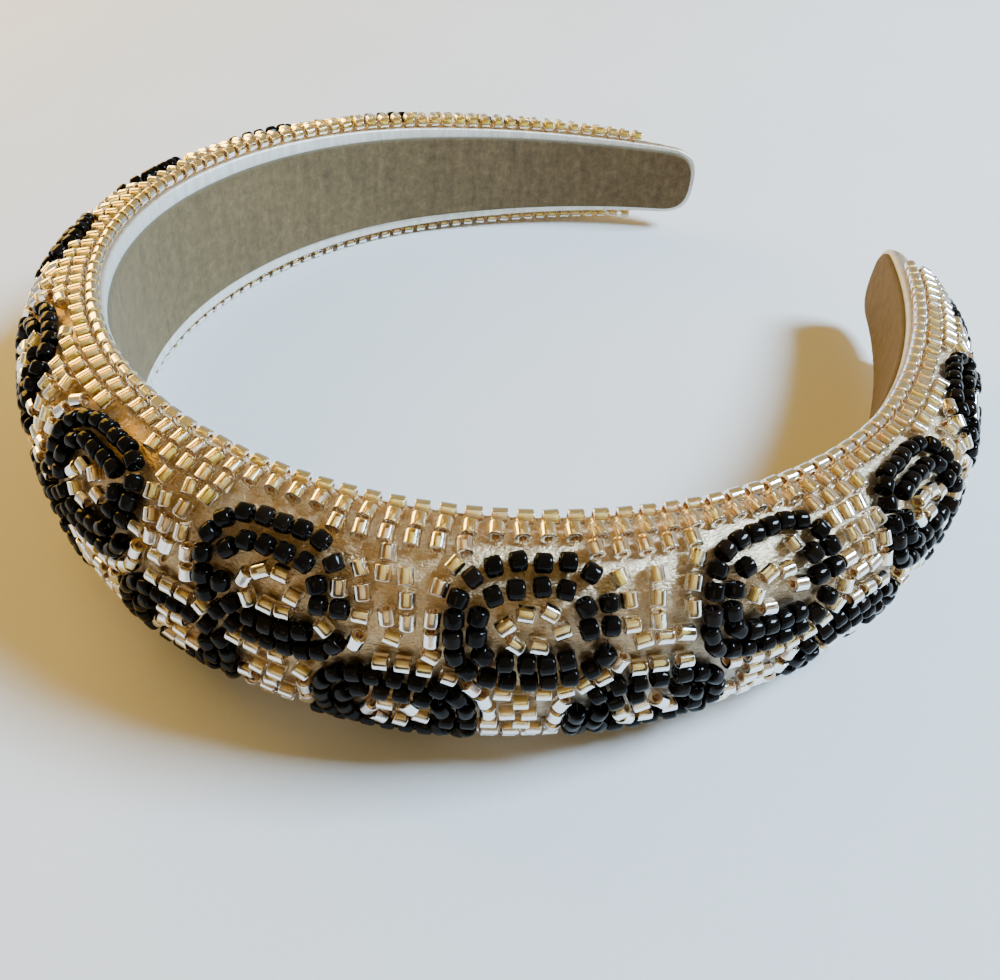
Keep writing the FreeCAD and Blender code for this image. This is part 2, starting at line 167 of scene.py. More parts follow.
def tube_faces(rows, columns):
    """Faces of a tube of points, with a flat face over each end."""
    faces = grid_faces(rows, columns, False, True).tolist()
    faces.append(list(range(columns)))
    faces.append([(rows - 1) * columns + k for k in reversed(range(columns))])
    return faces


def set_uv(piece, name, values):
    """A UV map in millimetres, from two values a point."""
    layer = piece.data.uv_layers.new(name=name)
    corner = np.zeros(len(piece.data.loops), np.int32)
    piece.data.loops.foreach_get("vertex_index", corner)
    layer.data.foreach_set("uv", np.asarray(values, np.float32)[corner].ravel())


# ------------ materials

class Finish:
    """A node material round one Principled shader."""

    def __init__(self, name, **constants):
        self.material = bpy.data.materials.new(name)
        self.material.use_nodes = True
        self.tree = self.material.node_tree
        self.shader = self.tree.nodes["Principled BSDF"]
        for socket, value in constants.items():
            self.shader.inputs[socket.replace("_", " ")].default_value = value

    def add(self, kind, inputs=None, **settings):
        node = self.tree.nodes.new(kind)
        for setting, value in settings.items():
            setattr(node, setting, value)
        for socket, value in (inputs or {}).items():
            if isinstance(value, bpy.types.NodeSocket):
                self.tree.links.new(value, node.inputs[socket])
            else:
                node.inputs[socket].default_value = value
        return node

    def place(self):
        return self.add("ShaderNodeTexCoord").outputs["Object"]

    def uv(self, name):
        return self.add("ShaderNodeUVMap", uv_map=name).outputs["UV"]

    def stretched(self, vector, scale):
        node = self.add("ShaderNodeMapping", {"Vector": vector})
        node.inputs["Scale"].default_value = scale
        return node.outputs["Vector"]

    def attribute(self, name, output="Fac"):
        return self.add("ShaderNodeAttribute", attribute_name=name).outputs[output]

    def noise(self, vector, scale, detail=4.0, roughness=0.55, distortion=0.0):
        node = self.add("ShaderNodeTexNoise", {
            "Vector": vector, "Scale": scale, "Detail": detail,
            "Roughness": roughness, "Distortion": distortion})
        return node.outputs["Fac"]

    def cells(self, vector, scale, feature="F1"):
        node = self.add("ShaderNodeTexVoronoi", {"Vector": vector, "Scale": scale}, feature=feature)
        return node.outputs["Distance"]

    def wave(self, vector, scale, direction="X", distortion=0.0):
        node = self.add("ShaderNodeTexWave", {
            "Vector": vector, "Scale": scale, "Distortion": distortion}, bands_direction=direction)
        return node.outputs["Fac"]

    def math(self, operation, first, second=0.0):
        node = self.add("ShaderNodeMath", {0: first, 1: second}, operation=operation)
        return node.outputs[0]

    def ramp(self, value, stops):
        """Colours along a value; stops are (position, (r, g, b))."""
        node = self.add("ShaderNodeValToRGB", {"Fac": value})
        elements = node.color_ramp.elements
        while len(elements) < len(stops):
            elements.new(0.5)
        for element, (position, colour) in zip(elements, stops):
            element.position = position
            element.color = (*colour, 1.0)
        return node.outputs["Color"]

    def span(self, value, low, high, from_low=0.0, from_high=1.0):
        """A value moved from one range to another."""
        node = self.add("ShaderNodeMapRange", {
            "Value": value, "From Min": from_low, "From Max": from_high,
            "To Min": low, "To Max": high})
        return node.outputs["Result"]

    def mix(self, share, first, second):
        """The first colour where share is 0, the second where it is 1."""
        node = self.add("ShaderNodeMix", data_type="RGBA")
        for index, value in ((0, share), (6, first), (7, second)):
            if isinstance(value, bpy.types.NodeSocket):
                self.tree.links.new(value, node.inputs[index])
            else:
                node.inputs[index].default_value = value if index == 0 else (*value, 1.0)
        return node.outputs[2]

    def bump(self, height, strength, distance):
        node = self.add("ShaderNodeBump", {"Height": height, "Strength": strength, "Distance": distance})
        return node.outputs["Normal"]

    def set(self, socket, value):
        """Link a node's output to a socket of the shader."""
        self.tree.links.new(value, self.shader.inputs[socket])


def gold_glass():
    """Clear amber to champagne glass; its tone runs warmer or paler from bead to bead, and it also carries
    painted light: yellower on the left, rosier on the right and low down.
    """
    finish = Finish("gold_glass", Transmission_Weight=1.0, IOR=1.5, Specular_IOR_Level=0.22)
    place = finish.place()
    tone = finish.attribute("tone")
    thin = finish.ramp(tone, (
        (0.0, (0.90, 0.75, 0.12)), (0.35, (0.90, 0.72, 0.26)),
        (0.7, (0.89, 0.67, 0.35)), (1.0, (0.86, 0.62, 0.39))))
    thick = finish.ramp(tone, (
        (0.0, (0.50, 0.35, 0.04)), (0.35, (0.48, 0.31, 0.07)),
        (0.7, (0.48, 0.27, 0.11)), (1.0, (0.50, 0.29, 0.17))))
    rim = finish.add("ShaderNodeLayerWeight", {"Blend": 0.5}).outputs["Facing"]
    finish.set("Base Color", finish.mix(finish.span(rim, 0.0, 1.0, 0.30, 0.80), thin, thick))
    finish.set("Roughness", finish.span(finish.noise(place, 900.0), 0.06, 0.22))
    finish.set("Normal", finish.bump(finish.noise(place, 700.0, 2.0), 0.25, 0.0001))
    return finish.material


def silver_lining():
    """The silver coat on the wall of each gold bead's hole: painted reflections in pale and gold streaks
    outside, copper inside.
    """
    finish = Finish("silver_lining")
    place = finish.attribute("bead_mm", "Vector")
    streaks = finish.noise(place, 1.7, 3.0, 0.5)
    # painted reflections: near-white and gold streaks in the base colour of a barely metallic coat stand in
    # for the silver's mirror
    painted_reflections = finish.ramp(streaks, (
        (0.28, (0.46, 0.31, 0.12)), (0.42, (0.86, 0.72, 0.42)),
        (0.52, (1.0, 0.94, 0.72)), (0.62, (1.0, 0.99, 0.93)), (0.74, (0.94, 0.84, 0.62))))
    copper = finish.ramp(streaks, (
        (0.3, (0.30, 0.12, 0.03)), (0.7, (0.55, 0.27, 0.09))))
    finish.set("Base Color", finish.mix(finish.attribute("bore"), painted_reflections, copper))
    finish.set("Metallic", finish.span(finish.attribute("bore"), 0.12, 0.1))
    finish.set("Roughness", finish.span(streaks, 0.60, 0.34, 0.3, 0.7))
    finish.set("Normal", finish.bump(finish.noise(place, 2.6, 3.0), 0.5, 0.0002))
    return finish.material


def black_glass():
    """Opaque glossy black glass with slight dulling and dust."""
    finish = Finish("black_glass", IOR=1.5, Specular_IOR_Level=0.10)
    place = finish.place()
    finish.set("Base Color", finish.ramp(finish.attribute("tone"), (
        (0.0, (0.0015, 0.0012, 0.0012)), (0.8, (0.003, 0.0026, 0.0024)), (1.0, (0.008, 0.005, 0.004)))))
    finish.set("Roughness", finish.span(finish.noise(place, 800.0), 0.03, 0.12, 0.35, 0.75))
    finish.set("Normal", finish.bump(finish.noise(place, 520.0, 2.0), 0.30, 0.0002))
    return finish.material


def metallic_cloth():
    """Crinkled gold lame outside, with painted shade in the crinkle's hollows and painted highlight on its
    crests, turning to a painted silver on the right arm for the cool light there; and the same cloth's
    paler ribbed satin side on the inner face.
    """
    finish = Finish("metallic_cloth", Sheen_Weight=0.05, Sheen_Roughness=0.4)
    uv = finish.uv("cloth_mm")
    inside = finish.attribute("inside")
    crinkle = finish.noise(uv, 1.9, 7.0, 0.62, 1.4)
    drawn = finish.noise(finish.stretched(uv, (0.55, 2.4, 1.0)), 1.3, 4.0, 0.6, 1.0)
    creases = finish.cells(finish.stretched(uv, (0.8, 1.5, 1.0)), 1.5, "DISTANCE_TO_EDGE")
    weft = finish.wave(uv, 2.4, "Y", 0.4)
    ribs = finish.wave(uv, 0.95, "X", 0.4)
    # pale: the share of painted cool light that turns the gold lamé silver
    pale = finish.attribute("pale")
    # both ramps follow the crinkle's relief: painted shade in its hollows, painted highlight on its crests
    gold = finish.ramp(crinkle, (
        (0.25, (0.30, 0.195, 0.095)), (0.45, (0.48, 0.335, 0.175)),
        (0.6, (0.63, 0.46, 0.265)), (0.8, (0.88, 0.71, 0.47))))
    # silver: the gold lamé's copy painted as lit by the cool light
    silver = finish.ramp(crinkle, (
        (0.25, (0.26, 0.23, 0.18)), (0.45, (0.44, 0.41, 0.36)),
        (0.6, (0.60, 0.58, 0.54)), (0.8, (0.84, 0.83, 0.81))))
    lame = finish.mix(pale, gold, silver)
    satin = finish.ramp(finish.noise(finish.stretched(uv, (0.9, 0.12, 1.0)), 0.7, 4.0), (
        (0.3, (0.60, 0.57, 0.50)), (0.7, (0.82, 0.80, 0.74))))
    finish.set("Base Color", finish.mix(inside, lame, satin))
    finish.set("Metallic", finish.span(inside, 0.95, 0.35))
    finish.set("Roughness", finish.span(crinkle, 0.26, 0.46, 0.3, 0.7))
    folds = finish.math("MULTIPLY", finish.span(creases, 0.0, 1.0, 0.0, 0.3), 0.35)
    relief = finish.math("ADD", finish.math("MULTIPLY", crinkle, 0.8), finish.math("MULTIPLY", drawn, 0.25))
    relief = finish.math("ADD", relief, folds)
    relief = finish.math("MULTIPLY", relief, finish.span(inside, 1.0, 0.10))
    threads = finish.math("ADD", finish.math("MULTIPLY", weft, 0.06), finish.math(
        "MULTIPLY", ribs, finish.span(inside, 0.02, 0.20)))
    finish.set("Normal", finish.bump(finish.math("ADD", relief, threads), 0.8, 0.00020))
    return finish.material


def suede():
    """Olive taupe suede: mottled nap with strokes across the band and a browner far end."""
    finish = Finish("suede", Sheen_Weight=0.22, Sheen_Roughness=0.5, Roughness=0.92)
    finish.shader.inputs["Sheen Tint"].default_value = (0.80, 0.70, 0.46, 1.0)
    uv = finish.uv("cloth_mm")
    mottle = finish.noise(uv, 0.55, 6.0, 0.68, 0.3)
    strokes = finish.noise(finish.stretched(uv, (0.55, 0.10, 1.0)), 0.8, 5.0, 0.6, 0.6)
    nap = finish.noise(uv, 7.0, 3.0, 0.7)
    shade = finish.math(
        "ADD", finish.math("MULTIPLY", mottle, 0.62), finish.math("MULTIPLY", strokes, 0.38))
    base = finish.ramp(shade, (
        (0.34, (0.064, 0.040, 0.014)), (0.47, (0.095, 0.061, 0.022)),
        (0.56, (0.122, 0.079, 0.030)), (0.68, (0.161, 0.107, 0.043))))
    far_end_brown = finish.ramp(shade, (
        (0.35, (0.070, 0.040, 0.014)), (0.55, (0.140, 0.090, 0.038)), (0.7, (0.205, 0.140, 0.065))))
    colour = finish.mix(finish.attribute("far_end_brown"), base, far_end_brown)
    # painted shadow in deep brown along the cut edge and over the back
    colour = finish.mix(finish.attribute("edge"), colour, (0.09, 0.075, 0.045))
    finish.set("Base Color", colour)
    fuzz = finish.math("ADD", finish.math("MULTIPLY", nap, 0.5), finish.math("MULTIPLY", mottle, 1.0))
    finish.set("Normal", finish.bump(fuzz, 0.55, 0.0003))
    return finish.material


def thread_finish():
    """Waxed beading thread: amber under the gold beads, near black under the black ones as painted shade
    between them.
    """
    finish = Finish("beading_thread", Subsurface_Weight=0.2, Coat_Weight=0.15)
    finish.shader.inputs["Subsurface Scale"].default_value = 0.0003
    place = finish.place()
    amber = finish.ramp(finish.noise(place, 600.0), (
        (0.3, (0.36, 0.22, 0.08)), (0.55, (0.56, 0.40, 0.18)), (0.8, (0.72, 0.58, 0.34))))
    # near-black thread under the black beads is painted shade between them
    finish.set("Base Color", finish.mix(finish.attribute("painted_shade"), amber, (0.020, 0.014, 0.010)))
    finish.set("Roughness", finish.span(finish.noise(place, 1500.0), 0.30, 0.60))
    finish.set("Normal", finish.bump(finish.noise(place, 3000.0), 0.4, 0.0001))
    return finish.material


def foam_finish():
    """Open-cell upholstery foam, with painted shade in its pores."""
    finish = Finish("foam", Subsurface_Weight=0.15)
    finish.shader.inputs["Subsurface Scale"].default_value = 0.001
    place = finish.place()
    pores = finish.cells(place, 1400.0)
    # painted shade: the colour falls to deep brown in the middle of each pore, where the bump is lowest
    finish.set("Base Color", finish.ramp(pores, (
        (0.0, (0.28, 0.25, 0.16)), (0.35, (0.74, 0.70, 0.52)), (0.9, (0.86, 0.83, 0.68)))))
    finish.set("Roughness", finish.span(finish.noise(place, 500.0), 0.80, 0.97))
    finish.set("Normal", finish.bump(pores, 0.8, 0.0005))
    return finish.material


def plastic_finish():
    """Matte moulded plastic with a fine spark texture and faint flow marks."""
    finish = Finish("former_plastic", IOR=1.46)
    place = finish.place()
    flow = finish.noise(finish.stretched(place, (30.0, 30.0, 240.0)), 1.0, 3.0)
    finish.set("Base Color", finish.ramp(flow, (
        (0.3, (0.70, 0.68, 0.62)), (0.7, (0.80, 0.78, 0.72)))))
    finish.set("Roughness", finish.span(finish.noise(place, 2600.0), 0.42, 0.62))
    finish.set("Normal", finish.bump(finish.noise(place, 3000.0, 2.0), 0.25, 0.0001))
    return finish.material


def floor_finish():
    """A plain pale tabletop."""
    finish = Finish("floor", Specular_IOR_Level=0.3)
    place = finish.place()
    finish.set("Base Color", finish.ramp(finish.noise(place, 14.0, 5.0), (
        (0.3, (0.66, 0.66, 0.65)), (0.7, (0.69, 0.69, 0.68)))))
    finish.set("Roughness", finish.span(finish.noise(place, 500.0), 0.62, 0.75))
    finish.set("Normal", finish.bump(finish.noise(place, 900.0, 3.0), 0.10, 0.0004))
    return finish.material


GOLD_GLASS, SILVER_LINING, BLACK_GLASS = gold_glass(), silver_lining(), black_glass()
CLOTH, SUEDE, THREAD = metallic_cloth(), suede(), thread_finish()

# ------------ where the CAD has its beads

WELD = 0.002 * MM  # corners closer than this are one corner
CORNERS_BY_HOLE = 8  # the corners nearest to a bead's axis, which lie on its hole
BEAD_LINE = 0.6  # share of the pad's height at which the beads' arcs are read
PAD_MIDDLE = 0.35  # share of the pad's height from which outward is taken


def loose_parts(mesh):
    """Corner points of each separate solid in a mesh, in metres."""
    points = np.zeros(len(mesh.vertices) * 3)
    mesh.vertices.foreach_get("co", points)
    points = points.reshape(-1, 3)
    corners = np.zeros(len(mesh.loops), np.int64)
    mesh.loops.foreach_get("vertex_index", corners)
    cells = np.round(points / WELD).astype(np.int64)
    merged, home = np.unique(cells, axis=0, return_inverse=True)
    triangles = home.ravel()[corners].reshape(-1, 3)
    label = np.arange(len(merged))
    while True:
        lowest = label[triangles].min(1)
        before = label.copy()
        for corner in range(3):
            np.minimum.at(label, triangles[:, corner], lowest)
        label = label[label]
        if np.array_equal(before, label):
            break
    places = merged * WELD
    order = np.argsort(label, kind="stable")
    starts = np.flatnonzero(np.diff(label[order])) + 1
    return [places[part] for part in np.split(order, starts)]


def bead_frames(node):
    """Centre, side, normal and axis of each bead in a node, in the band frame."""
    centres, sides, normals, axes = [], [], [], []
    for part in loose_parts(nodes[node].data):
        points = to_band(part)
        centre = points.mean(0)
        spread = points - centre
        axis = np.linalg.svd(spread, full_matrices=False)[2][0]
        along = spread @ axis
        axis = spread[along > 0].mean(0) - spread[along < 0].mean(0)
        axis = axis / np.linalg.norm(axis)
        radial = spread - np.outer(spread @ axis, axis)
        hole = radial[np.argsort(np.linalg.norm(radial, axis=1))[:CORNERS_BY_HOLE]]
        first = hole[0] / np.linalg.norm(hole[0])
        second = np.cross(axis, first)
        side, normal = first + second, first - second
        side, normal = side / np.linalg.norm(side), normal / np.linalg.norm(normal)
        outward = outward_of(centre)
        if abs(side @ outward) > abs(normal @ outward):
            side, normal = normal, side
        if normal @ outward < 0:
            normal = -normal
        centres.append(centre)
        sides.append(np.cross(normal, axis))
        normals.append(normal)
        axes.append(axis)
    return [np.array(values) for values in (centres, sides, normals, axes)]


SEARCH_ARCS = np.linspace(-HALF, HALF, 1481)
SEARCH_LINE = in_band(SEARCH_ARCS, height_at(SEARCH_ARCS) * BEAD_LINE, 0.0)


def arc_of(points):
    """The arc nearest to each point."""
    apart = np.linalg.norm(points[:, None, :2] - SEARCH_LINE[None, :, :2], axis=2)
    return SEARCH_ARCS[apart.argmin(1)]


def outward_of(point):
    """Roughly outward from the pad's middle line."""
    arc = arc_of(point[None])
    away = point - in_band(arc, height_at(arc) * PAD_MIDDLE, 0.0)[0]
    return away / np.linalg.norm(away)


# ------------ beads

HOLE_POWER = 7  # squareness of the square hole's outline, 2 is a circle
BEAD_END = 0.5  # points of a bead further than this from its middle belong to an end
BEAD_LEAN = 0.03  # spread of the beads' lean from their sewn direction, in radians
LEAN_OUTWARD = 0.5  # share of the lean that tips a bead off the fabric
BLACK_JITTER = {"size_jitter": 0.025, "length_jitter": 0.05, "cut_jitter": 0.03}
GOLD_JITTER = {"size_jitter": 0.02, "length_jitter": 0.05, "cut_jitter": 0.05}
SILVERING_JITTER = {**GOLD_JITTER, "cut_jitter": 0.0}
# painted light: the tone's slope across the band and its rise low down tint the beads the way the lamps
# would
TONE_MIDDLE, PAINTED_LIGHT_TONE_PER_MM, PAINTED_LIGHT_TONE_LOW_DOWN, TONE_SPREAD = 0.42, 0.0030, 0.32, 0.16
PAINTED_LIGHT_LOW_DOWN = 14  # beads this far below the centre plane have the full low-down painted light
STREAK_REACH = 400  # each bead takes its painted reflection streaks from its own place in a field this wide
STITCH_RADIUS = 0.045


def ring(radius, squareness, z, segments):
    """One ring of a bead, between a circle and a square with rounded corners."""
    angle = 2 * math.pi * (np.arange(segments) + 0.5) / segments
    cosine, sine = np.cos(angle), np.sin(angle)
    square = (np.abs(cosine) ** HOLE_POWER + np.abs(sine) ** HOLE_POWER) ** (-1 / HOLE_POWER)
    reach = radius * (squareness * square + (1 - squareness))
    return np.stack([reach * cosine, reach * sine, np.full(segments, z)], -1)


def revolved(half_profile, segments):
    """A closed ring-shaped mesh from its upper half, mirrored; rows are (radius, squareness, z)."""
    mirrored = [(radius, squareness, -z) for radius, squareness, z in reversed(half_profile)]
    profile = half_profile + [row for row in mirrored if row[2] != 0]
    rings = np.array([ring(*row, segments) for row in profile])
    return rings.reshape(-1, 3), grid_faces(len(profile), segments, True, True)


def rounding(inner, top, radius, steps):
    """Profile rows round an outer edge, from the end face to the wall."""
    rows = []
    for step in range(steps + 1):
        angle = math.pi / 2 * step / steps
        rows.append((inner + radius * math.sin(angle), 0.0, top - radius * (1 - math.cos(angle))))
    return rows


LINING_SEGMENTS = 16
STREAKS_ALONG = np.array((1.0, 1.0, 0.14))  # the painted reflection streaks run along the bead, so they vary slowly that way


def gold_shape():
    """A cut tube with a small bevel and a square hole that flares at the ends."""
    radius, top, hole = GOLD["radius"], GOLD["half_length"], GOLD["hole"]
    bevel = 0.11
    half = [(hole, 1.0, 0.0), (hole, 1.0, top - 0.14), (hole + 0.02, 1.0, top - 0.05),
            (hole + 0.08, 0.9, top - 0.01), (hole + 0.20, 0.4, top)]
    half += rounding(radius - bevel, top, bevel, 3)
    half += [(radius, 0.0, top - bevel - 0.08), (radius, 0.0, 0.0)]
    return revolved(half, 20)


def lining_shape():
    """The silver lining's mesh, and 1 for each point on its inner wall."""
    hole, top = GOLD["hole"], GOLD["half_length"] - 0.10
    inner, outer = hole - 0.02, hole + 0.02
    half = [(inner, 1.0, 0.0), (inner, 1.0, top), (outer, 1.0, top), (outer, 1.0, 0.0)]
    points, faces = revolved(half, LINING_SEGMENTS)
    rows = np.array([1.0, 1.0, 0.0, 0.0, 0.0, 1.0])
    return points, faces, np.repeat(rows, LINING_SEGMENTS)


def black_shape():
    """A rounder bead with a square hole."""
    radius, top, hole = BLACK["radius"], BLACK["half_length"], BLACK["hole"]
    bevel = 0.42
    half = [(hole, 1.0, 0.0), (hole, 1.0, top - 0.30), (hole + 0.04, 0.9, top - 0.12),
            (hole + 0.15, 0.5, top - 0.02)]
    half += rounding(radius - bevel, top, bevel, 4)
    half += [(radius + 0.01, 0.0, 0.0)]
    return revolved(half, 22)


def stamp(shape, frames, size_jitter, length_jitter, cut_jitter):
    """Copies of a bead shape at each frame, each a little different."""
    points, faces = shape
    centres, sides, normals, axes = frames
    count = len(centres)
    wide = 1 + random.uniform(-size_jitter, size_jitter, (count, 1))
    long = 1 + random.uniform(-length_jitter, length_jitter, (count, 1))
    slopes = random.uniform(-cut_jitter, cut_jitter, (count, 2, 1))
    x = points[None, :, 0] * wide
    y = points[None, :, 1] * wide
    end = np.sign(points[None, :, 2]) * (np.abs(points[None, :, 2]) > BEAD_END)
    z = points[None, :, 2] * long + end * (x * slopes[:, 0] + y * slopes[:, 1])
    placed = (centres[:, None] + x[..., None] * sides[:, None] + y[..., None] * normals[:, None]
              + z[..., None] * axes[:, None])
    offsets = (np.arange(count) * len(points))[:, None, None]
    return placed.reshape(-1, 3), (faces[None] + offsets).reshape(-1, 4)


def tilted(frames, amount):
    """Each bead leans a little from its sewn direction."""
    centres, sides, normals, axes = frames
    lean = random.normal(0.0, amount, (len(centres), 2))
    axes = axes + sides * lean[:, :1] + normals * lean[:, 1:] * LEAN_OUTWARD
    axes = axes / np.linalg.norm(axes, axis=1)[:, None]
    sides = np.cross(normals, axes)
    sides = sides / np.linalg.norm(sides, axis=1)[:, None]
    return centres, sides, np.cross(axes, sides), axes


def bead_tones_and_painted_light(frames, points_each):
    """Painted light, yellower on the left shoulder and rosier on the right and low down, with a spread from
    bead to bead.
    """
    centres = frames[0]
    painted_low_light = np.clip(-centres[:, 2] / PAINTED_LIGHT_LOW_DOWN, 0, 1)
    tone = TONE_MIDDLE + PAINTED_LIGHT_TONE_PER_MM * centres[:, 0] + PAINTED_LIGHT_TONE_LOW_DOWN * painted_low_light
    tone = tone + random.normal(0.0, TONE_SPREAD, len(centres))
    return np.repeat(np.clip(tone, 0, 1), points_each)


# The thread's way from the fabric into a bead: height in radii, and how far inside the bead's end.
STITCH_STEPS = ((-1.12, -0.10), (-0.75, -0.10), (-0.30, -0.06), (0.0, 0.05))


def stitch_points(frames, size):
    """The thread's line through each bead, down to the fabric at both ends."""
    centres, _, normals, axes = frames
    rows = []
    for end in (-1, 1):
        steps = STITCH_STEPS if end < 0 else STITCH_STEPS[::-1]
        for height, inset in steps:
            along = end * (size["half_length"] - inset)
            rows.append(centres + normals * (height * size["radius"]) + axes * along)
    return np.stack(rows, 1)


def tubes(lines, radius, sides_count=6):
    """A thin tube round each line of points; lines is (tubes, points, 3)."""
    ahead = np.empty_like(lines)
    ahead[:, 1:-1] = lines[:, 2:] - lines[:, :-2]
    ahead[:, 0] = lines[:, 1] - lines[:, 0]
    ahead[:, -1] = lines[:, -1] - lines[:, -2]
    ahead /= np.linalg.norm(ahead, axis=2)[..., None]
    overall = lines[:, -1] - lines[:, 0]
    reference = np.cross(overall, ahead[:, 0])
    reference /= np.linalg.norm(reference, axis=1)[:, None] + NEARLY_ZERO
    first = reference[:, None] - (reference[:, None] * ahead).sum(2)[..., None] * ahead
    first /= np.linalg.norm(first, axis=2)[..., None]
    second = np.cross(ahead, first)
    angle = 2 * math.pi * np.arange(sides_count) / sides_count
    points = (lines[:, :, None] + radius * (np.cos(angle)[:, None] * first[:, :, None]
                                           + np.sin(angle)[:, None] * second[:, :, None]))
    each = grid_faces(lines.shape[1], sides_count, False, True)
    offsets = (np.arange(len(lines)) * lines.shape[1] * sides_count)[:, None, None]
    return points.reshape(-1, 3), (each[None] + offsets).reshape(-1, 4)


bead_nodes = sorted(name for name in nodes if "beads" in name or "centres" in name)
frames_of = {}
for name in bead_nodes:
    frames_of[name] = tilted(bead_frames(name), BEAD_LEAN)

gold_shell, black_body = gold_shape(), black_shape()
*gold_core, core_bore = lining_shape()
stitch_feet, pressed_spots = [], []
for name in bead_nodes:
    frames = frames_of[name]
    if name.startswith("black"):
        size = BLACK
        points, faces = stamp(black_body, frames, **BLACK_JITTER)
        piece = make_piece(name + "_glass", to_row(points), faces, BLACK_GLASS)
        tones = random.uniform(0, 1, len(frames[0]))
        set_tone(piece, "tone", np.repeat(tones, len(black_body[0])))
    else:
        size = GOLD
        state = random.bit_generator.state  # so that each lining varies just as its bead does
        points, faces = stamp(gold_shell, frames, **GOLD_JITTER)
        piece = make_piece(name + "_glass", to_row(points), faces, GOLD_GLASS)
        # the tone holds painted light as well as each bead's own spread
        set_tone(piece, "tone", bead_tones_and_painted_light(frames, len(gold_shell[0])))
        random.bit_generator.state = state
        core_points, core_faces = stamp(gold_core, frames, **SILVERING_JITTER)
        core = make_piece(name + "_silvering", to_row(core_points), core_faces, SILVER_LINING)
        set_tone(core, "bore", np.tile(core_bore, len(frames[0])))
        offsets = random.uniform(0, STREAK_REACH, (len(frames[0]), 1, 3))
        set_local(core, "bead_mm", gold_core[0][None] * STREAKS_ALONG + offsets)
    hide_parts(name)
    lines = stitch_points(frames, size)
    stitch_feet.append(lines[:, 0])
    stitch_feet.append(lines[:, -1])
    pressed_spots.append((lines[:, 0] + lines[:, -1]) / 2)
    if "edge" not in name and "rest" not in name:
        points, faces = tubes(lines, STITCH_RADIUS)
        stitches = make_piece(name + "_stitches", to_row(points), faces, THREAD)
        # painted shade: the thread under black beads is near black
        set_tone(stitches, "painted_shade", np.full(len(points), float(size is BLACK)))

stitch_feet = np.concatenate(stitch_feet)
pressed_spots = np.concatenate(pressed_spots)

# ------------ edge threads

KNOT_DROP = 0.35  # the tie between two beads lies this far under their middles
THREAD_STEP = 0.14
KNOT_SWELL, KNOT_REACH = 1.1, 0.16  # how much thicker a tie is, and how far along the thread
PLY_RADIUS, PLY_TURN, PLY_SIDES = 0.06, 0.9, 6


def edge_thread(name, bead_names):
    """Two twisted plies through one edge row, tied down between neighbouring beads."""
    centres, _, normals, axes = (
        np.concatenate([frames_of[bead_name][index] for bead_name in bead_names]) for index in range(4))
    order = np.argsort(arc_of(centres))
    centres, normals, axes = centres[order], normals[order], axes[order]
    forward = np.gradient(centres, axis=0)
    axes = axes * np.sign((axes * forward).sum(1))[:, None]
    half = GOLD["half_length"]
    knots = (centres[1:] + centres[:-1]) / 2 - (normals[1:] + normals[:-1]) / 2 * KNOT_DROP
    route = []
    for index in range(len(centres)):
        route.append(centres[index] - axes[index] * half)
        route.append(centres[index] + axes[index] * half)
        if index < len(knots):
            route.append(knots[index])
    route = np.array(route)
    lengths = np.concatenate([[0], np.cumsum(np.linalg.norm(np.diff(route, axis=0), axis=1))])
    steps = np.arange(0, lengths[-1], THREAD_STEP)
    line = np.stack([np.interp(steps, lengths, route[:, k]) for k in range(3)], -1)
    nearest = np.abs(steps[:, None] - lengths[None, 2::3]).min(1)
    swell = 1 + KNOT_SWELL * np.exp(-(nearest / KNOT_REACH) ** 2)
    ahead = np.gradient(line, axis=0)
    ahead /= np.linalg.norm(ahead, axis=1)[:, None]
    first = np.cross(ahead, (0.0, 0.0, 1.0))
    first /= np.linalg.norm(first, axis=1)[:, None]
    second = np.cross(ahead, first)
    thick = PLY_RADIUS * swell
    around = 2 * math.pi * np.arange(PLY_SIDES) / PLY_SIDES
    circle = np.cos(around)[:, None] * first[:, None] + np.sin(around)[:, None] * second[:, None]
    all_points, all_faces, start = [], [], 0
    for offset in (0, math.pi):
        angle = steps * (2 * math.pi / PLY_TURN) + offset
        away = np.cos(angle)[:, None] * first + np.sin(angle)[:, None] * second
        middle = line + away * thick[:, None]
        points = middle[:, None] + thick[:, None, None] * circle
        all_points.append(points.reshape(-1, 3))
        all_faces.append(grid_faces(len(steps), PLY_SIDES, False, True) + start)
        start += len(steps) * PLY_SIDES
    points, faces = np.concatenate(all_points), np.concatenate(all_faces)
    piece = make_piece(name + "_twist", to_row(points), faces, THREAD)
    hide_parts(name)


edge_thread("top_edge_thread", ["top_edge_beads"])
edge_thread("bottom_edge_thread", ["bottom_edge_beads", "bottom_rest_beads"])

# ------------ fabric cover

COVER_STRAIGHT, COVER_TIP = 231, 17  # the cover's arcs on each side
INNER_STEPS, CORNER_STEPS, CROWN_STEPS = 9, 4, 72
CORNER = 0.5  # radius of the fold along the band's edges
CORNER_CLEARANCE = 0.1  # the crown starts this far above the fold
TIP_CROWN, TIP_CROWN_POWER = 0.45, 0.6  # share of the height left at a tip, and how it falls
FULL_FOLD = 0.998  # at the tips the turn-ins nearly meet in the middle
TURN_IN_GAP, GAP_CLOSES = 0.2, 0.72  # elsewhere they stay apart, until the tip is this narrow
CORNER_FADE = 0.6  # how far the inner side's look fades over the fold
TRIAL_ROW_STEP = 2  # the cloth trial uses every second row of the cover's grid
TRIAL_SCALE = 0.05  # units for a millimetre in the cloth trial
TRIAL_PRESSURE, TRIAL_FRAMES = 4.0, 20
TRIAL_QUALITY, TRIAL_MASS = 5, 0.1
LIFT_LIMIT = 0.34  # the foam can't push the fabric out further
HELD_REACH, HELD_FROM = 0.9, 0.4  # the fabric is held down this close to stitches and beads
STITCH_DEPTH, STITCH_REACH = 0.16, 0.75  # the dimple at each stitch
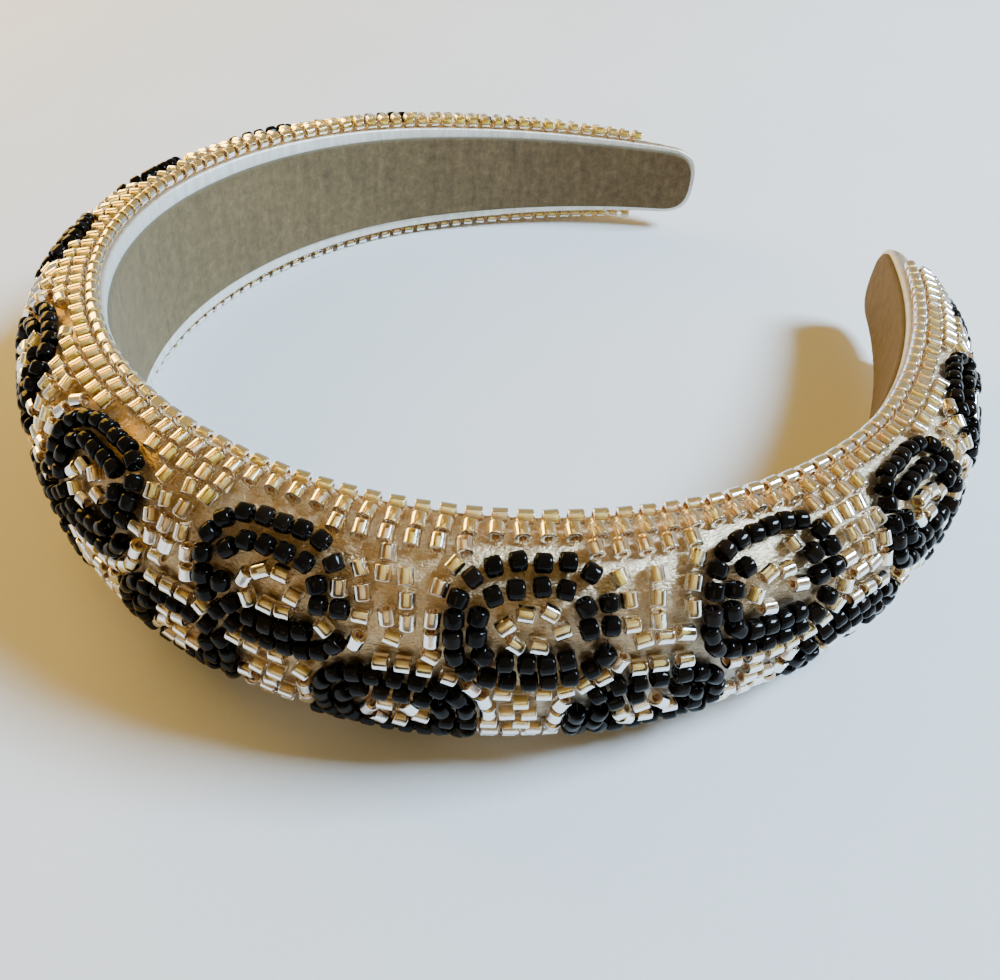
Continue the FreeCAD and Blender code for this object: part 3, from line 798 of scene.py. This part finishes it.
DIMPLE_RANGE = 2.2  # a dimple is nothing beyond this many reaches
COVER_SET_IN = 0.10  # how far the unlifted fabric lies below the CAD's
RIPPLE_COUNT, RIPPLE_LENGTH = 14, 2.6
CROWN_RIPPLE, INNER_RIPPLE = 0.035, 0.010
TIP_FADE = 4.0  # ripples and dimples die out over this arc at the tips
CLOTH_THICKNESS = 0.3
PAINTED_COOL_LIGHT_FROM, PAINTED_COOL_LIGHT_RUN = 48.0, 24.0  # arcs over which the cloth turns from gold to a painted silver, the look of the cool light on the right arm
PAINTED_COOL_LIGHT_GIRTH, LEAST_PAINTED_COOL_LIGHT = 14, 0.25  # the painted cool light reaches less far down


def cover_grid(arcs):
    """Points of the cover's outside, from one folded-in edge round the crown to the other.

    The second result is 1 for each column on the inner face and 0 on the crown.
    """
    half_width = width_at(arcs) / 2
    factor = tip_factor(arcs, HALF, TIP_WIDTH / 2)
    height = height_at(arcs) * (TIP_CROWN + (1 - TIP_CROWN) * factor ** TIP_CROWN_POWER)
    half_width = half_width * factor
    apart = TURN_IN_GAP * np.clip((factor - GAP_CLOSES) / (1 - GAP_CLOSES), 0, 1)
    fold = np.minimum(TURN_IN, half_width * (FULL_FOLD - apart))
    columns_up, columns_out, inside = [], [], []
    for share in np.linspace(0, 1, INNER_STEPS):
        columns_up.append(half_width - fold + share * (fold - CORNER * factor))
        columns_out.append(0 * arcs)
        inside.append(1.0)
    for angle in np.linspace(0, math.pi / 2, CORNER_STEPS + 1)[1:]:
        columns_up.append(half_width - CORNER * factor * (1 - math.sin(angle)))
        columns_out.append(CORNER * (1 - math.cos(angle)) * factor)
        inside.append(1 - angle / (math.pi / 2) * CORNER_FADE)
    crown = []
    crown_angles = np.radians(np.linspace(90, -90, CROWN_STEPS))
    for angle in crown_angles[2:-2]:
        side = math.copysign(abs(math.sin(angle)) ** (2 / CROWN_POWER), angle)
        rise = abs(math.cos(angle)) ** (2 / CROWN_POWER)
        crown.append((half_width * side, np.maximum(height * rise, CORNER * factor + CORNER_CLEARANCE)))
    up = columns_up + [row[0] for row in crown] + [-row for row in reversed(columns_up)]
    out = columns_out + [row[1] for row in crown] + list(reversed(columns_out))
    mask = inside + [0.0] * len(crown) + inside[::-1]
    points = np.stack([in_band(arcs, o, u) for u, o in zip(up, out)], 1)
    return points, np.array(mask)


def grid_normals(points):
    """Normals of a grid of points, all towards one side of it."""
    along = np.gradient(points, axis=0)
    across = np.gradient(points, axis=1)
    normal = np.cross(across, along)
    length = np.linalg.norm(normal, axis=2)[..., None]
    return normal / np.maximum(length, NEARLY_ZERO)


def dimples(points, spots, depth, reach):
    """How far each point is pulled in by the spots near it."""
    tree = kdtree.KDTree(len(spots))
    for index, spot in enumerate(spots):
        tree.insert(spot, index)
    tree.balance()
    flat = points.reshape(-1, 3)
    pull = np.zeros(len(flat))
    for index, point in enumerate(flat):
        for _, _, apart in tree.find_range(point, reach * DIMPLE_RANGE):
            pull[index] += math.exp(-(apart / reach) ** 2)
    return depth * np.minimum(pull, 1.0).reshape(points.shape[:2])


def pressed_out(points, normals, held):
    """How far the foam lifts the fabric between its stitches, from a cloth simulation."""
    rows = np.unique(np.append(np.arange(0, points.shape[0], TRIAL_ROW_STEP), points.shape[0] - 1))
    columns = points.shape[1]
    start = points[rows].reshape(-1, 3)
    away = normals[rows].reshape(-1, 3)
    faces = grid_faces(len(rows), columns)
    first, second, third = (start[faces[:, k]] for k in range(3))
    facing = (np.cross(second - first, third - first) * away[faces[:, 0]]).sum(1)
    if np.median(facing) < 0:
        faces = faces[:, ::-1]
    mesh = bpy.data.meshes.new("cloth_trial")
    mesh.from_pydata(start * TRIAL_SCALE, [], faces)
    trial = bpy.data.objects.new("cloth_trial", mesh)
    scene = bpy.context.scene
    scene.collection.objects.link(trial)
    pins = trial.vertex_groups.new(name="held")
    pins.add(np.flatnonzero(held[rows].ravel()).tolist(), 1.0, "REPLACE")
    cloth = trial.modifiers.new("cloth", "CLOTH")
    cloth.settings.quality = TRIAL_QUALITY
    cloth.settings.mass = TRIAL_MASS
    cloth.settings.vertex_group_mass = "held"
    cloth.settings.use_pressure = True
    cloth.settings.uniform_pressure_force = TRIAL_PRESSURE
    cloth.settings.effector_weights.gravity = 0.0
    cloth.point_cache.frame_end = TRIAL_FRAMES
    for frame_number in range(1, TRIAL_FRAMES + 1):
        scene.frame_set(frame_number)
    settled = trial.evaluated_get(bpy.context.evaluated_depsgraph_get()).to_mesh()
    moved = np.zeros(len(start) * 3)
    settled.vertices.foreach_get("co", moved)
    rise = ((moved.reshape(-1, 3) / TRIAL_SCALE - start) * away).sum(1)
    rise = np.clip(rise, 0, LIFT_LIMIT).reshape(len(rows), columns)
    bpy.data.objects.remove(trial)
    bpy.data.meshes.remove(mesh)
    scene.frame_set(1)
    return np.stack([np.interp(np.arange(points.shape[0]), rows, column) for column in rise.T], 1)


def girth_lengths(points):
    """Length along each row of a grid of points, from its first point."""
    steps = np.linalg.norm(np.diff(points, axis=1), axis=2)
    return np.concatenate([np.zeros((len(points), 1)), np.cumsum(steps, axis=1)], axis=1)


def soft_waves(count, length, arcs, across):
    """Smooth random ripples at each arc and height, as a sum of a few waves of about one length."""
    total = np.zeros(arcs.shape)
    for _ in range(count):
        angle = random.uniform(0, 2 * math.pi)
        phase = random.uniform(0, 2 * math.pi)
        share = random.uniform(0.6, 1.6)
        total += np.sin(2 * math.pi * (arcs * math.cos(angle) / length
                                       + across * math.sin(angle) / length) / share + phase)
    return total / math.sqrt(count)


def fabric_cover():
    """The cloth over the pad, swollen between its stitches, dimpled at them and turned in."""
    arcs = strip_arcs(HALF, TIP_WIDTH / 2, COVER_STRAIGHT, COVER_TIP)
    points, mask = cover_grid(arcs)
    normals = grid_normals(points)
    middle = in_band(arcs, height_at(arcs) * PAD_MIDDLE, 0.0)[:, None]
    facing = np.sign(((points - middle) * normals).sum(2))
    normals = normals * np.median(facing)
    girth = girth_lengths(points)
    girth = girth - girth[:, -1:] / 2
    arc_grid = np.repeat(arcs[:, None], points.shape[1], 1)
    ripples = soft_waves(RIPPLE_COUNT, RIPPLE_LENGTH, arc_grid, girth)
    pull = dimples(points, stitch_feet, STITCH_DEPTH, STITCH_REACH)
    outside = 1 - mask[None]
    near_tip = np.clip((HALF - np.abs(arc_grid)) / TIP_FADE, 0, 1)
    held = dimples(points, np.concatenate([stitch_feet, pressed_spots]), 1.0, HELD_REACH) > HELD_FROM
    held |= (outside < 0.9) | (near_tip < 1)
    lift = pressed_out(points, normals, held)
    depth = -COVER_SET_IN * outside - pull * outside
    depth = depth + CROWN_RIPPLE * ripples * outside + INNER_RIPPLE * ripples * mask[None]
    depth = depth + lift * outside
    shaped = points + normals * (depth * near_tip)[..., None]
    rows, columns = girth.shape
    piece = make_piece("fabric_cover_lame", to_row(shaped.reshape(-1, 3)), grid_faces(rows, columns), CLOTH)
    set_uv(piece, "cloth_mm", np.stack([arc_grid.ravel(), girth.ravel()], -1))
    set_tone(piece, "inside", np.repeat(mask[None], rows, 0).ravel())
    # painted cool light: the cloth turns silver along the right arm, less low down
    pale = np.clip((arc_grid - PAINTED_COOL_LIGHT_FROM) / PAINTED_COOL_LIGHT_RUN, 0, 1)
    pale = pale * np.clip(0.5 + girth / PAINTED_COOL_LIGHT_GIRTH, LEAST_PAINTED_COOL_LIGHT, 1)
    set_tone(piece, "pale", pale.ravel())
    thickness = piece.modifiers.new("cloth thickness", "SOLIDIFY")
    thickness.thickness = CLOTH_THICKNESS * MM
    thickness.offset = -1.0 if np.median(facing) > 0 else 1.0
    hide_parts("fabric_cover")


fabric_cover()

# ------------ suede lining

LINING_STRAIGHT, LINING_TIP, LINING_COLUMNS = 250, 15, 41
LINING_RIM = 0.55  # the nap rounds off over this distance from the edge
EDGE_SHADOW_RIM = 0.45  # and painted shadow darkens the cut edge over this one
ROUND_OFF = 0.782  # share of the thickness lost at the rim
NAP_OVER_FACE = 0.03
CREASES, CREASE_ARC, CREASE_LEAN = 34, 165, 0.25
CREASE_WIDTH, CREASE_DEPTH = (0.35, 0.9), (0.02, 0.07)
LUMP_COUNT, LUMP_LENGTH, LUMP_HEIGHT = 16, 5.0, 0.02
# the suede turns browner and lighter over these arcs towards the far end
FAR_END_BROWN_FROM, FAR_END_BROWN_RUN, FAR_END_BROWN_SHARE = 95, 85, 0.75


def lining_half_width(arc):
    """Half the lining's width; its margin narrows towards the tips."""
    share = np.minimum(1.0, np.abs(arc) / HALF)
    margin = LINING_MARGIN + (LINING_TIP_MARGIN - LINING_MARGIN) * share ** 2
    return width_at(arc) / 2 - margin


def suede_lining():
    """The suede strip, with rounded cut edges, soft lumps and creases across the band."""
    end = HALF - LINING_TIP_MARGIN
    end_radius = lining_half_width(np.array([end]))[0]
    arcs = strip_arcs(end, end_radius, LINING_STRAIGHT, LINING_TIP)
    factor = tip_factor(arcs, end, end_radius)
    half_width = lining_half_width(arcs) * factor
    share = np.sin(np.linspace(-math.pi / 2, math.pi / 2, LINING_COLUMNS))
    up = half_width[:, None] * share[None]
    arc_grid = np.repeat(arcs[:, None], len(share), 1)
    edge = half_width[:, None] - np.abs(up)
    rim = np.clip(edge / LINING_RIM, 0, 1)
    round_off = 1 - np.sqrt(np.maximum(1 - (1 - rim) ** 2, 0))
    creases = np.zeros_like(up)
    for _ in range(CREASES):
        place = random.uniform(-CREASE_ARC, CREASE_ARC)
        lean = random.uniform(-CREASE_LEAN, CREASE_LEAN)
        wide = random.uniform(*CREASE_WIDTH)
        deep = random.uniform(*CREASE_DEPTH)
        creases -= deep * np.exp(-((arc_grid - place - lean * up) / wide) ** 2)
    lumps = LUMP_HEIGHT * soft_waves(LUMP_COUNT, LUMP_LENGTH, arc_grid, up)
    thick = LINING_BACK - LINING_FACE
    face_out = LINING_FACE + NAP_OVER_FACE + thick * ROUND_OFF * round_off - (creases + lumps) * rim
    face, back = in_band(arc_grid, face_out, up), in_band(arc_grid, LINING_BACK, up)
    loop = np.concatenate([face, back[:, ::-1]], axis=1)
    rows, columns = loop.shape[:2]
    faces = tube_faces(rows, columns)
    piece = make_piece("suede_lining_nap", to_row(loop.reshape(-1, 3)), faces, SUEDE)
    both = np.concatenate([up, up[:, ::-1]], axis=1)
    set_uv(piece, "cloth_mm", np.stack([np.repeat(arcs, columns), both.ravel()], -1))
    far_end_brown = np.clip((-arc_grid - FAR_END_BROWN_FROM) / FAR_END_BROWN_RUN, 0, 1) * FAR_END_BROWN_SHARE
    set_tone(piece, "far_end_brown", np.concatenate([far_end_brown, far_end_brown], axis=1).ravel())
    # painted shadow along the cut edge; the back, against the fabric, takes it all over
    painted_shade = np.clip(1 - edge / EDGE_SHADOW_RIM, 0, 1) ** 1.5
    set_tone(piece, "edge", np.concatenate([painted_shade, np.ones_like(painted_shade)], axis=1).ravel())
    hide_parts("suede_lining")


suede_lining()

# ------------ foam and former

FOAM_STRAIGHT, FOAM_TIP, FOAM_COLUMNS = 200, 12, 44
FOAM_BASE = 1.83  # the foam starts on the former's outer face
FOAM_INSET, FOAM_END_INSET = 0.5, 0.6
FOAM_SIDE_GAP, FOAM_TOP_GAP = 0.1, 0.18
PORE_COUNT, PORE_LENGTH, PORE_DEPTH = 18, 1.8, 0.05


def foam_pad():
    """The crowned pad, a little smaller than the cover's inside and rough with pores."""
    end, end_radius = HALF - FOAM_END_INSET, TIP_WIDTH / 2 - FOAM_END_INSET
    arcs = strip_arcs(end, end_radius, FOAM_STRAIGHT, FOAM_TIP)
    half_width = (width_at(arcs) / 2 - FOAM_INSET - FOAM_SIDE_GAP) * tip_factor(arcs, end, end_radius)
    top = height_at(arcs) - FOAM_INSET
    angle = np.radians(np.linspace(-90, 90, FOAM_COLUMNS))
    side = np.copysign(np.abs(np.sin(angle)) ** (2 / CROWN_POWER), angle)
    rise = np.abs(np.cos(angle)) ** (2 / CROWN_POWER)
    up = half_width[:, None] * side[None]
    arc_grid = np.repeat(arcs[:, None], len(angle), 1)
    pores = PORE_DEPTH * soft_waves(PORE_COUNT, PORE_LENGTH, arc_grid, up)
    crown = (top - FOAM_BASE)[:, None] * rise[None]
    out = FOAM_BASE + np.maximum(crown - FOAM_TOP_GAP - pores, 0)
    points = in_band(arc_grid, out, up).reshape(-1, 3)
    piece = make_piece("foam_pad_open_cell", to_row(points), tube_faces(*up.shape), foam_finish())
    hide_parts("foam_pad")


foam_pad()
former = nodes["plastic_former"]
former.data.materials.clear()
former.data.materials.append(plastic_finish())

# ------------ floor, light and camera

FLOOR_HALF = 3.0  # metres
LIGHT_AIM = (0, 0, 0.01)
HORIZON_TO, OVERHEAD_FROM = 0.16, 0.45


def floor():
    """A flat square under the band."""
    mesh = bpy.data.meshes.new("floor")
    corners = [(x * FLOOR_HALF, y * FLOOR_HALF, 0) for x, y in ((-1, -1), (1, -1), (1, 1), (-1, 1))]
    mesh.from_pydata(corners, [], [(0, 1, 2, 3)])
    mesh.materials.append(floor_finish())
    plane = bpy.data.objects.new("floor", mesh)
    bpy.context.scene.collection.objects.link(plane)


def area_light(name, place, width, height, power, colour):
    """A soft rectangular light that faces the band."""
    data = bpy.data.lights.new(name, "AREA")
    data.shape = "RECTANGLE"
    data.size, data.size_y = width, height
    data.energy = power
    data.color = colour
    light = bpy.data.objects.new(name, data)
    light.location = place
    light.rotation_mode = "QUATERNION"
    light.rotation_quaternion = (Vector(LIGHT_AIM) - Vector(place)).to_track_quat("-Z", "Y")
    bpy.context.scene.collection.objects.link(light)


def soft_world(horizon, overhead, strength):
    """A pale backdrop that turns warm higher up."""
    world = bpy.data.worlds.new("studio")
    world.use_nodes = True
    tree = world.node_tree
    direction = tree.nodes.new("ShaderNodeTexCoord")
    parts = tree.nodes.new("ShaderNodeSeparateXYZ")
    tree.links.new(direction.outputs["Generated"], parts.inputs[0])
    shade = tree.nodes.new("ShaderNodeValToRGB")
    tree.links.new(parts.outputs["Z"], shade.inputs["Fac"])
    stops = ((HORIZON_TO, horizon), (OVERHEAD_FROM, overhead))
    for element, (position, colour) in zip(shade.color_ramp.elements, stops):
        element.position = position
        element.color = (*colour, 1.0)
    background = tree.nodes["Background"]
    tree.links.new(shade.outputs["Color"], background.inputs["Color"])
    background.inputs["Strength"].default_value = strength
    bpy.context.scene.world = world


def camera():
    """The view from the near right, a little above the band."""
    data = bpy.data.cameras.new("camera")
    data.sensor_width = 36.0
    data.lens = 33.815
    data.shift_x, data.shift_y = 0.0425, -0.0631
    data.clip_start, data.clip_end = 0.005, 20.0
    view = bpy.data.objects.new("camera", data)
    view.location = (0.10730, -0.08640, 0.10820)
    view.rotation_euler = tuple(math.radians(a) for a in (49.774, -0.343, 54.321))
    bpy.context.scene.collection.objects.link(view)
    bpy.context.scene.camera = view


floor()
soft_world((0.98, 0.95, 0.90), (1.0, 0.69, 0.22), 0.46)
area_light("window", (0.45, 0.60, 0.75), 0.36, 0.30, 43.0, (0.51, 0.73, 0.97))
area_light("left", (-0.75, -0.15, 0.30), 0.6, 0.4, 10.0, (1.0, 0.58, 0.08))
area_light("front", (0.5, -0.8, 0.5), 0.4, 0.4, 0.7, (1.0, 0.78, 0.50))
camera()
